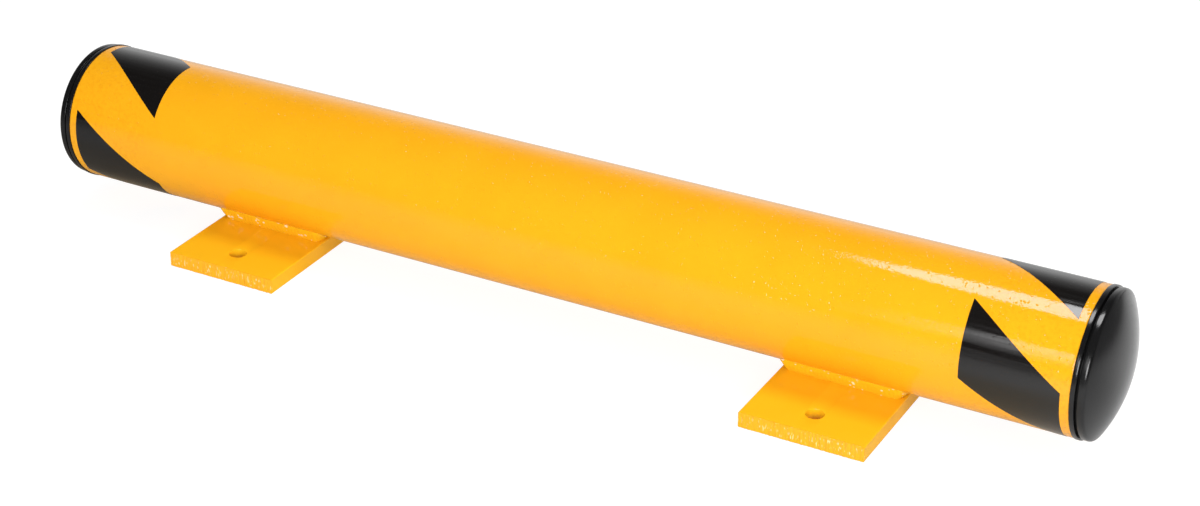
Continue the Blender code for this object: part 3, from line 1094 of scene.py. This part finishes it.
level_wave = calculate(weld_ripples, "SUBTRACT", wave, MEAN_OF_WAVE)
ripple = product(weld_ripples, level_wave, given["Height"])
lump_noise = noise(weld_ripples, place, given["Lump size"])
level_lumps = calculate(weld_ripples, "SUBTRACT", lump_noise, MEAN_OF_NOISE)
lump = product(weld_ripples, level_lumps, given["Lump height"])
swell = product(weld_ripples, calculate(weld_ripples, "ADD", ripple, lump), on_face)
offset = add_node(
    weld_ripples, "ShaderNodeVectorMath", {0: normal, 3: swell}, operation="SCALE"
).outputs[0]
end_group(weld_ripples, given, offset, result)

# %% Sections of a bead
WELD_SINK = 0.15 * MM
WELD_HEIGHT = 11.3 * MM
WELD_TOE_STEP = 5.4 * MM
WELD_ROOT_OPENING = 2.0 * MM
WELD_CROWN = 0.5 * MM
WELD_END_SETBACK = 2.8 * MM
WELD_END_RADIUS = 5.0 * MM
WELD_END_REACH = 0.35
WELD_END_FLARE = 4.5 * MM
WELD_FACE_STEPS = 24
WELD_BACK_STEPS = 8
WELD_END_STEPS = 12
WELD_FIRST_STEP = 0.25
WELD_STATION = 0.5 * MM

weld_floor = plate_top - WELD_SINK
weld_roof_radius = pipe_radius - WELD_SINK


def where_pipe_is(height):
    """Distance from the middle at which the pipe's underside is this high above its lowest."""
    return sqrt(pipe_radius ** 2 - (pipe_radius - height) ** 2)


def weld_section(share):
    """Outline of a bead as (y, z, weight). The weight is 1 in the middle of its face."""
    root_y = where_pipe_is(WELD_ROOT_OPENING)
    reach = WELD_END_REACH + (1 - WELD_END_REACH) * share
    upper_y = root_y + (where_pipe_is(WELD_HEIGHT) - root_y) * reach
    lower_y = upper_y - WELD_TOE_STEP * reach
    outline = [(root_y, weld_floor, 0.0), (lower_y, weld_floor, 0.0)]
    lower_toe = Vector((lower_y, weld_floor))
    upper_toe = Vector((upper_y, pipe_axis - sqrt(weld_roof_radius ** 2 - upper_y ** 2)))
    chord = upper_toe - lower_toe
    outward = Vector((chord.y, -chord.x)).normalized()
    for i in range(1, WELD_FACE_STEPS):
        t = i / WELD_FACE_STEPS
        bulge = 4 * t * (1 - t)
        point = lower_toe + chord * t + outward * (WELD_CROWN * share * bulge)
        outline.append((point.x, point.y, bulge * share))
    for i in range(WELD_BACK_STEPS + 1):
        y = upper_y + (root_y - upper_y) * i / WELD_BACK_STEPS
        outline.append((y, pipe_axis - sqrt(weld_roof_radius ** 2 - y ** 2), 0.0))
    return outline


def weld_stations(half):
    """Places along a bead as (x, share of the full section)."""
    straight = half - WELD_END_RADIUS
    turns = [pi / 2 * (i + WELD_FIRST_STEP) / WELD_END_STEPS for i in range(WELD_END_STEPS)]
    rise = [(-straight - WELD_END_RADIUS * cos(a), sin(a)) for a in turns]
    count = round(2 * straight / WELD_STATION)
    run = [(straight * (2 * i / count - 1), 1.0) for i in range(count + 1)]
    return rise + run + [(-x, share) for x, share in reversed(rise)]


print(len(weld_section(1.0)), "points round a bead's full section")

# %% Lay the four beads
def lay_bead(side, face):
    half = plate_half_width - WELD_END_SETBACK
    middle = SIDES[side] * plate_centre
    bm = bmesh.new()
    weights = bm.verts.layers.float.new("weld_face")
    rings = []
    for along, share in weld_stations(half):
        section = weld_section(share)
        top = max(z for _, z, _ in section)
        ring = []
        for y, z, weight in section:
            climb = (z - weld_floor) / (top - weld_floor)
            lean = WELD_END_FLARE * (along / half) ** 3 * climb
            vert = bm.verts.new((middle + along + lean, FACES[face] * y, z))
            vert[weights] = weight
            ring.append(vert)
        rings.append(ring)
    join_rings(bm, rings, closed=False)
    bm.faces.new(rings[0])
    bm.faces.new(rings[-1])
    bead = new_object(f"fine_bead_{side}_{face}", bm, weld_paint)
    apply_rule(bead, weld_ripples, {"Material": weld_paint})
    finish_piece(bead, f"weld_bead_{side}_{face}")


for side in SIDES:
    for face in FACES:
        lay_bead(side, face)

# %% [markdown]
# ## End caps
#
# A moulded plug closes each end. Fins on its plug bite into the bore, a flange covers the sawn
# edge and stands a little proud of it, and beyond a dark groove the rim carries a low dome. A
# cap could be put together from a cylinder and a sphere, but it was moulded in one piece, so
# all of it is one turned profile, with its corners rounded as a mould leaves them.

# %% Profile of a cap
CAP_SEAT = 0.05 * MM
FLANGE_LIFT = 0.3 * MM
GROOVE_DEPTH = 3.0 * MM
FLANGE_PROUD = 0.55 * MM
RIM_INSET = 0.35 * MM
RIM_HEIGHT = 4.9 * MM
RIM_EDGE = 3.0 * MM
CAP_WALL = 3.0 * MM
PLUG_CLEARANCE = 3.1 * MM
FIN_WIDTH = 2.2 * MM
FIN_PITCH = 7.5 * MM
FIN_COUNT = 3
FIN_CLEARANCE = 0.3 * MM
MOULD_EDGE = 0.35 * MM
DOME_STEPS = 40
RIM_EDGE_STEPS = 10
CEILING_STEPS = 20


def cap_profile():
    """Points (out, radius) of a cap, and a radius for each corner. Out is 0 at the pipe's end."""
    rim = pipe_radius - RIM_INSET
    flange_top = FLANGE_LIFT + FLANGE_THICKNESS
    rim_bottom = flange_top + GROOVE_WIDTH
    flange = pipe_radius + FLANGE_PROUD
    plug = bore_radius - PLUG_CLEARANCE
    fin_tip = bore_radius - FIN_CLEARANCE
    shoulder = rim_bottom + RIM_HEIGHT
    rise = cap_tip - shoulder
    dome_radius = (rise ** 2 + rim ** 2) / (2 * rise)
    dome_centre = cap_tip - dome_radius
    edge_radius = rim - RIM_EDGE
    edge_reach = dome_radius - RIM_EDGE
    edge_out = dome_centre + sqrt(edge_reach ** 2 - edge_radius ** 2)
    meet = asin(edge_radius / edge_reach)
    points = arc((dome_centre, 0.0), dome_radius, 0.0, meet, DOME_STEPS)
    points += arc((edge_out, edge_radius), RIM_EDGE, meet, pi / 2, RIM_EDGE_STEPS)[1:]
    radii = [0.0] * len(points)
    steps = [
        (rim_bottom, rim),
        (rim_bottom, rim - GROOVE_DEPTH),
        (flange_top, rim - GROOVE_DEPTH),
        (flange_top, flange),
        (CAP_SEAT, flange),
        (CAP_SEAT, plug),
    ]
    radii += [MOULD_EDGE, MOULD_EDGE, MOULD_EDGE, MOULD_EDGE * 2, MOULD_EDGE, MOULD_EDGE]
    for i in range(FIN_COUNT):
        bottom = -FIN_PITCH * (i + 1)
        steps += [(bottom + FIN_WIDTH, plug), (bottom + FIN_WIDTH, fin_tip), (bottom, plug)]
        radii += [MOULD_EDGE, MOULD_EDGE, MOULD_EDGE]
    hollow = plug - CAP_WALL
    steps += [(-plug_depth, plug), (-plug_depth, hollow)]
    radii += [MOULD_EDGE * 2, MOULD_EDGE * 2]
    ceiling_radius = dome_radius - CAP_WALL
    ceiling_start = asin(hollow / ceiling_radius)
    ceiling = arc((dome_centre, 0.0), ceiling_radius, ceiling_start, 0.0, CEILING_STEPS)
    radii += [0.0] * len(ceiling)
    return points + steps + ceiling, radii


print(len(cap_profile()[0]), "corners in a cap's profile")

# %% Turn both caps
CAP_STEPS = 240
SAME_POINT = 0.001 * MM
NO_AREA = 1e-14


def turn_cap(side):
    """Turn the cap's profile, which starts and ends on the axis."""
    profile = round_profile(*cap_profile(), steps=3)
    bm = bmesh.new()
    sign = SIDES[side]
    placed = [(sign * (pipe_end + out), radius) for out, radius in profile]
    turn_profile(bm, placed, CAP_STEPS)
    bmesh.ops.remove_doubles(bm, verts=bm.verts, dist=SAME_POINT)
    axis_faces = [face for face in bm.faces if face.calc_area() < NO_AREA]
    bmesh.ops.delete(bm, geom=axis_faces, context="FACES_ONLY")
    cap = new_object(f"fine_cap_{side}", bm, cap_plastic)
    finish_piece(cap, f"end_cap_{side}")


for side in SIDES:
    turn_cap(side)

# %% [markdown]
# ## Stripes
#
# Three black stripes lean round each end of the pipe. Each could be part of the paint, as a
# mask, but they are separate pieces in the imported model, so each is a thin closed film laid
# on the pipe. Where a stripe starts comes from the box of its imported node, and the angle of
# its middle there, in degrees from the front, was read from the photograph.

# %% Lay the six stripes
STRIPE_SPAN = radians(61.6)
STRIPE_LEAN = radians(34.5)
STRIPE_THICKNESS = 0.15 * MM
STRIPE_LIFT = 0.02 * MM
STRIPE_STEPS_ALONG = 40
STRIPE_STEPS_ROUND = 48
STRIPE_STARTS = {
    "left": [-6.6, 118.0, 235.7],
    "right": [23.2, 140.9, 262.0],
}
# The left band reads a little wider in the photograph
STRIPE_OVERRUN = {"left": 2.4 * MM, "right": 0.0}


def lay_stripe(side, number, start):
    """A leaning strip of film. Its middle lies at the start angle where the band begins."""
    node = f"stripe_{side}_{number}"
    low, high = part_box(node)
    width = high[0] - low[0] + STRIPE_OVERRUN[side]
    twist = width * tan(STRIPE_LEAN) / pipe_radius
    bm = bmesh.new()
    layers = []
    for radius in (pipe_radius + STRIPE_LIFT, pipe_radius + STRIPE_LIFT + STRIPE_THICKNESS):
        layer = []
        for i in range(STRIPE_STEPS_ALONG + 1):
            t = i / STRIPE_STEPS_ALONG
            x = low[0] + width * t
            row = []
            for j in range(STRIPE_STEPS_ROUND + 1):
                angle = start - twist * t + STRIPE_SPAN * (j / STRIPE_STEPS_ROUND - 0.5)
                row.append(bm.verts.new(on_pipe(x, angle, radius)))
            layer.append(row)
        layers.append(layer)
    inner, outer = layers
    for layer in layers:
        for row, other in zip(layer, layer[1:]):
            for j in range(STRIPE_STEPS_ROUND):
                bm.faces.new((row[j], row[j + 1], other[j + 1], other[j]))
    for i in (0, -1):
        for j in range(STRIPE_STEPS_ROUND):
            bm.faces.new((inner[i][j], inner[i][j + 1], outer[i][j + 1], outer[i][j]))
        for k in range(STRIPE_STEPS_ALONG):
            bm.faces.new((inner[k][i], inner[k + 1][i], outer[k + 1][i], outer[k][i]))
    stripe = new_object(f"fine_{node}", bm, stripe_film)
    finish_piece(stripe, node)


for side, starts in STRIPE_STARTS.items():
    for number, start in enumerate(starts, start=1):
        lay_stripe(side, number, radians(start))
